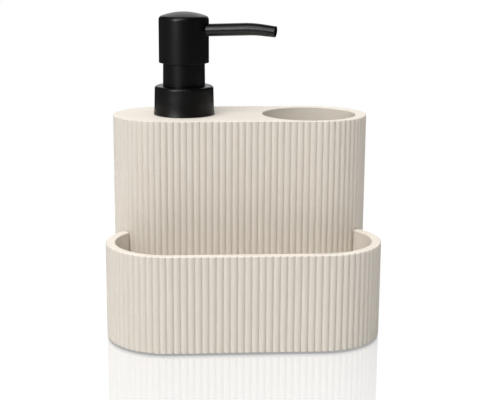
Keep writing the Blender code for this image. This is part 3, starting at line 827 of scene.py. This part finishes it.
FLARE_STEPS = 7
FLARE_TOP_RADIUS = 20.05
FLARE_TOP = 7.3
FLARE = 0.6
HEAD_RADIUS = 16.8
HEAD_ROUND = 2.8
HEAD_SHOULDER = 63.3
HEAD_APEX = 68.6
DOME_SLOPE = math.radians(19.61)
DOME_STEPS = 12
SHOULDER_STEPS = 10
SPOUT_RADIUS = 4.15
SPOUT_TAPER = 0.5
SPOUT_WALL = 0.6
SPOUT_RIM_ROUND = 0.15
SPOUT_ROOT = 5.5
SPOUT_CLEAR = 24.0
SPOUT_HOLE_ROOM = 0.1
SPOUT_HOLE_END = 34.0
SPOUT_LEVEL = 56.0
SPOUT_KNEE = 49.0
SPOUT_TIP = 14.5
SPOUT_BEND = 6.0
SPOUT_RISE = math.tan(math.radians(2.8))
SPOUT_DROP = math.tan(math.radians(5.8))
SPOUT_HEADING = math.radians(-20)
KNEE_STEPS = 12
THREAD_RADIUS = 13.25
THREAD_RIDGE = 0.54
THREAD_LOW = 4.4
THREAD_TURNS = 1.75
THREAD_PITCH = 3.6
THREAD_STEPS = 110
THREAD_RUN_OUT = 8
TUBE_RADIUS = 3.4
TUBE_BORE = 2.5
TUBE_HIGH = -28.4
TUBE_FOOT = 10.6
TUBE_SLANT = math.radians(30)
WEDGE_SIZE = 20.0
SPRING_TURNS = 7
SPRING_STEPS = 20
SPRING_WIRE = 0.5


def make_collar():
    """The flared collar with its rounded shoulder."""
    corners = [(13.5, 19.3, 0.2), (19.8, 19.3, 1.7)]
    for i in range(FLARE_STEPS):
        corners.append((FLARE_TOP_RADIUS + FLARE * (i / FLARE_STEPS) ** 2, FLARE_TOP - i, 0))
    corners += [(20.65, 0.3, 0.2), (18.85, 0.3, 0.15), (18.6, 18.1, 0), (13.5, 18.1, 0)]
    collar = lathe("collar_shell", rounded(corners, 6))
    smooth(collar)
    dress(collar, BLACK, "black_plastic", "closure", "collar")


def make_sleeve():
    """The fixed sleeve that the head slides over."""
    corners = [
        (14.0, 37.7, 0.3),
        (14.2, 19.6, 0.1),
        (13.2, 19.6, 0),
        (13.2, 18.1, 0),
        (12.0, 18.1, 0),
        (12.0, 19.6, 0),
        (12.8, 21.0, 0),
        (12.8, 37.7, 0.3),
    ]
    sleeve = lathe("sleeve_tube", rounded(corners, 5))
    smooth(sleeve)
    dress(sleeve, BLACK, "black_plastic", "closure", "guide_sleeve")


def head_profile():
    """The head's shell: a shallow dome that runs tangent into the shoulder's round, and a long skirt."""
    edge = HEAD_RADIUS - HEAD_ROUND
    meet = edge + HEAD_ROUND * math.sin(DOME_SLOPE)
    drop = HEAD_APEX - HEAD_SHOULDER - HEAD_ROUND * math.cos(DOME_SLOPE)
    points = []
    for i in range(DOME_STEPS):
        points.append(Vector((meet * i / DOME_STEPS, HEAD_APEX - drop * (i / DOME_STEPS) ** 2)))
    for i in range(SHOULDER_STEPS + 1):
        angle = (math.pi / 2 - DOME_SLOPE) * (1 - i / SHOULDER_STEPS)
        out, up = HEAD_ROUND * math.cos(angle), HEAD_ROUND * math.sin(angle)
        points.append(Vector((edge + out, HEAD_SHOULDER + up)))
    skirt = [
        (HEAD_RADIUS, HEAD_SHOULDER, 0),
        (HEAD_RADIUS, 40.0, 0),
        (HEAD_RADIUS, 34.9, 0.2),
        (15.65, 34.9, 0.2),
        (15.65, 62.8, 1.0),
        (0, 64.0, 0),
    ]
    return points + rounded(skirt)[1:]


def make_head():
    """The head's outer shell with the hole that the spout comes through."""
    head = lathe("head_shell", head_profile(), 128, False)
    hole = rod("spout_hole", SPOUT_RADIUS + SPOUT_HOLE_ROOM, SPOUT_ROOT, SPOUT_HOLE_END)
    subtract(head, hole)
    smooth(head)
    dress(head, BLACK, "black_plastic", "head", "pump_head")


def spout_point(reach, level):
    """A point in the row frame, this far out along the spout's heading and this high over the casting."""
    x = pump_x + reach * math.cos(SPOUT_HEADING) * MM
    return Vector((x, body_y + reach * math.sin(SPOUT_HEADING) * MM, top_face + level * MM))


def rod(name, radius, start, end):
    """A round bar along the spout's line."""
    first = spout_point(start, SPOUT_LEVEL + start * SPOUT_RISE)
    last = spout_point(end, SPOUT_LEVEL + end * SPOUT_RISE)
    run = last - first
    deselect()
    bpy.ops.mesh.primitive_cylinder_add(
        vertices=64,
        radius=radius * MM,
        depth=run.length,
        location=(first + last) / 2,
        rotation=run.to_track_quat("Z", "Y").to_euler(),
    )
    bar = bpy.context.object
    bar.name = name
    to_origin(bar)
    return bar


def bar_along(name, places, radii, resolution, filled):
    """A round bar through these places, this thick at each of them."""
    path = bpy.data.curves.new(name, "CURVE")
    path.dimensions = "3D"
    path.bevel_depth = MM
    path.bevel_resolution = resolution
    path.use_fill_caps = filled
    spline = path.splines.new("POLY")
    spline.points.add(len(places) - 1)
    for point, place, radius in zip(spline.points, places, radii):
        point.co = (*place, 1.0)
        point.radius = radius
    bar = bpy.data.objects.new(name, path)
    bpy.context.scene.collection.objects.link(bar)
    pick(bar)
    bpy.ops.object.convert(target="MESH")
    bar = bpy.context.object
    tidy_mesh(bar)
    return bar


def make_spout():
    """The spout: a thin tube, kneed near its end and narrowing a little to its open tip."""
    knee = SPOUT_LEVEL + SPOUT_KNEE * SPOUT_RISE
    line = [(reach, SPOUT_LEVEL + reach * SPOUT_RISE) for reach in (SPOUT_ROOT, SPOUT_CLEAR)]
    for i in range(KNEE_STEPS + 1):
        t = i / KNEE_STEPS
        reach = SPOUT_KNEE + (2 * t - 1) * SPOUT_BEND
        up, down = knee - SPOUT_BEND * SPOUT_RISE, knee - SPOUT_BEND * SPOUT_DROP
        line.append((reach, (1 - t) ** 2 * up + 2 * t * (1 - t) * knee + t**2 * down))
    end = SPOUT_KNEE + SPOUT_TIP
    line.append((end, knee - SPOUT_TIP * SPOUT_DROP))
    places = [spout_point(reach, level) for reach, level in line]
    tapers = [max(reach - SPOUT_KNEE + SPOUT_BEND, 0) / (SPOUT_BEND + SPOUT_TIP) for reach, _ in line]
    radii = [SPOUT_RADIUS - SPOUT_TAPER * taper for taper in tapers]
    spout = bar_along("spout_tube", places, radii, 14, False)
    wall = spout.modifiers.new("Wall", "SOLIDIFY")
    wall.thickness = SPOUT_WALL * MM
    wall.offset = -1.0
    rim = spout.modifiers.new("Rim", "BEVEL")
    rim.width = SPOUT_RIM_ROUND * MM
    rim.segments = 3
    rim.angle_limit = math.radians(50)
    apply_all(spout)
    smooth(spout, 40)
    dress(spout, BLACK, "black_plastic", "head", "spout")


def make_neck():
    """The neck that the pump screws onto, with its round thread."""
    corners = [
        (13.5, 13.3, 0.3),
        (13.5, 1.8, 0.3),
        (17.8, 1.8, 0.3),
        (17.8, 0.3, 0.1),
        (15.0, 0.3, 0),
        (15.0, -9.0, 0.3),
        (11.2, -9.0, 0.3),
        (11.2, 13.3, 0.3),
    ]
    neck = lathe("threaded_neck", rounded(corners))
    places, radii = [], []
    for i in range(THREAD_STEPS + 1):
        turn = THREAD_TURNS * math.tau * i / THREAD_STEPS
        x = pump_x + THREAD_RADIUS * math.cos(turn) * MM
        y = body_y + THREAD_RADIUS * math.sin(turn) * MM
        level = THREAD_LOW + THREAD_PITCH * THREAD_TURNS * i / THREAD_STEPS
        places.append(Vector((x, y, top_face + level * MM)))
        from_end = min(i, THREAD_STEPS - i) / THREAD_RUN_OUT
        radii.append(THREAD_RIDGE * min(1.0, 0.3 + from_end))
    ridge = bar_along("thread_ridge", places, radii, 4, True)
    union = neck.modifiers.new("Thread", "BOOLEAN")
    union.operation = "UNION"
    union.solver = "EXACT"
    union.object = ridge
    apply_all(neck)
    bpy.data.objects.remove(ridge)
    smooth(neck)
    dress(neck, BLACK, "black_plastic", "holder", "neck_insert")


def make_gasket():
    """The soft ring under the pump's flange."""
    corners = [(13.5, 14.6, 0.25), (13.5, 13.6, 0.25), (8.9, 13.6, 0.15), (8.9, 14.6, 0.15)]
    gasket = lathe("gasket_ring", rounded(corners))
    smooth(gasket)
    dress(gasket, RUBBER, "rubber", "pump", "gasket")


def make_housing():
    """The pump's cylinder with its flange and the spigot that holds the dip tube."""
    corners = [
        (13.5, 16.1, 0.3),
        (13.5, 14.9, 0.3),
        (8.6, 14.9, 0.25),
        (8.6, -20.9, 1.2),
        (4.95, -25.1, 0.8),
        (4.95, -38.1, 0.35),
        (3.7, -38.1, 0.2),
        (3.7, -28.1, 0),
        (1.7, -28.1, 0),
        (1.7, -26.8, 0),
        (3.4, -25.1, 0),
        (3.4, -19.6, 0),
        (7.3, -19.6, 0.3),
        (7.3, 16.1, 0.2),
    ]
    housing = lathe("pump_cylinder", rounded(corners))
    smooth(housing)
    dress(housing, NATURAL, "natural_plastic", "pump", "pump_housing")


def make_dip_tube():
    """The thin tube down to the bottom of the reservoir, its foot cut on a slant."""
    low = TUBE_FOOT - top_face / MM
    outside = [Vector((TUBE_RADIUS, TUBE_HIGH)), Vector((TUBE_RADIUS, low))]
    inside = [Vector((TUBE_BORE, low)), Vector((TUBE_BORE, TUBE_HIGH))]
    tube = lathe("dip_pipe", outside + inside, 64)
    deselect()
    foot = Vector((pump_x - TUBE_RADIUS * MM, body_y, top_face + low * MM))
    turn = Matrix.Rotation(TUBE_SLANT, 4, "Y")
    bpy.ops.mesh.primitive_cube_add(size=WEDGE_SIZE * MM)
    wedge = bpy.context.object
    down = Matrix.Translation((0, 0, -WEDGE_SIZE / 2 * MM))
    wedge.matrix_world = Matrix.Translation(foot) @ turn @ down
    subtract(tube, wedge)
    smooth(tube)
    dress(tube, NATURAL, "natural_plastic", "pump", "dip_tube")


def make_spring():
    """The return spring, which is pressed together towards its fixed foot as the head goes down."""
    low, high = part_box("spring")
    reach = (high.x - low.x) / 2 - SPRING_WIRE * MM
    foot, top = low.z + SPRING_WIRE * MM, high.z - SPRING_WIRE * MM
    count = SPRING_TURNS * SPRING_STEPS
    places = []
    for i in range(count + 1):
        turn = math.tau * i / SPRING_STEPS
        level = foot + (top - foot) * i / count
        x, y = pump_x + reach * math.cos(turn), body_y + reach * math.sin(turn)
        places.append((x, y, level))
    spring = bar_along("return_spring", places, [SPRING_WIRE] * len(places), 3, True)
    smooth(spring)
    dress(spring, STEEL, "steel", "pump", "spring")
    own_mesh(spring)


def make_feet():
    """The six pads, their edges rounded."""
    for row in ("rear", "middle", "front"):
        for side in ("left", "right"):
            name = f"foot_{row}_{side}"
            low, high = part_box(name)
            radius, thick = (high.x - low.x) / 2 / MM, (high.z - low.z) / MM
            corners = [(0, thick, 0), (radius, thick, 0.2), (radius, 0, 0.3), (0, 0, 0)]
            centre = ((low.x + high.x) / 2, (low.y + high.y) / 2, low.z)
            foot = lathe(f"pad_{row}_{side}", rounded(corners), 64, False, centre)
            smooth(foot)
            dress(foot, RUBBER, "rubber", "holder", name)


make_body()
make_tray()
make_collar()
make_sleeve()
make_head()
make_spout()
make_neck()
make_gasket()
make_housing()
make_dip_tube()
make_spring()
make_feet()

# The solids that no piece stands for get their finish as they are

finishes = {
    "stone_resin": RESIN,
    "black_plastic": BLACK,
    "natural_plastic": NATURAL,
    "rubber": RUBBER,
    "steel": STEEL,
}
carried = {
    "base_plate": "stone_resin",
    "closure": "black_plastic",
    "head_insert": "black_plastic",
    "guide_bush": "natural_plastic",
    "ball_cage": "natural_plastic",
    "stem": "natural_plastic",
    "plunger": "natural_plastic",
    "piston": "natural_plastic",
    "check_ball": "steel",
}
for name, kind in carried.items():
    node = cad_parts[name]
    if not node.material_slots:
        node.data.materials.append(None)
    for material_slot in node.material_slots:
        material_slot.material = finishes[kind]
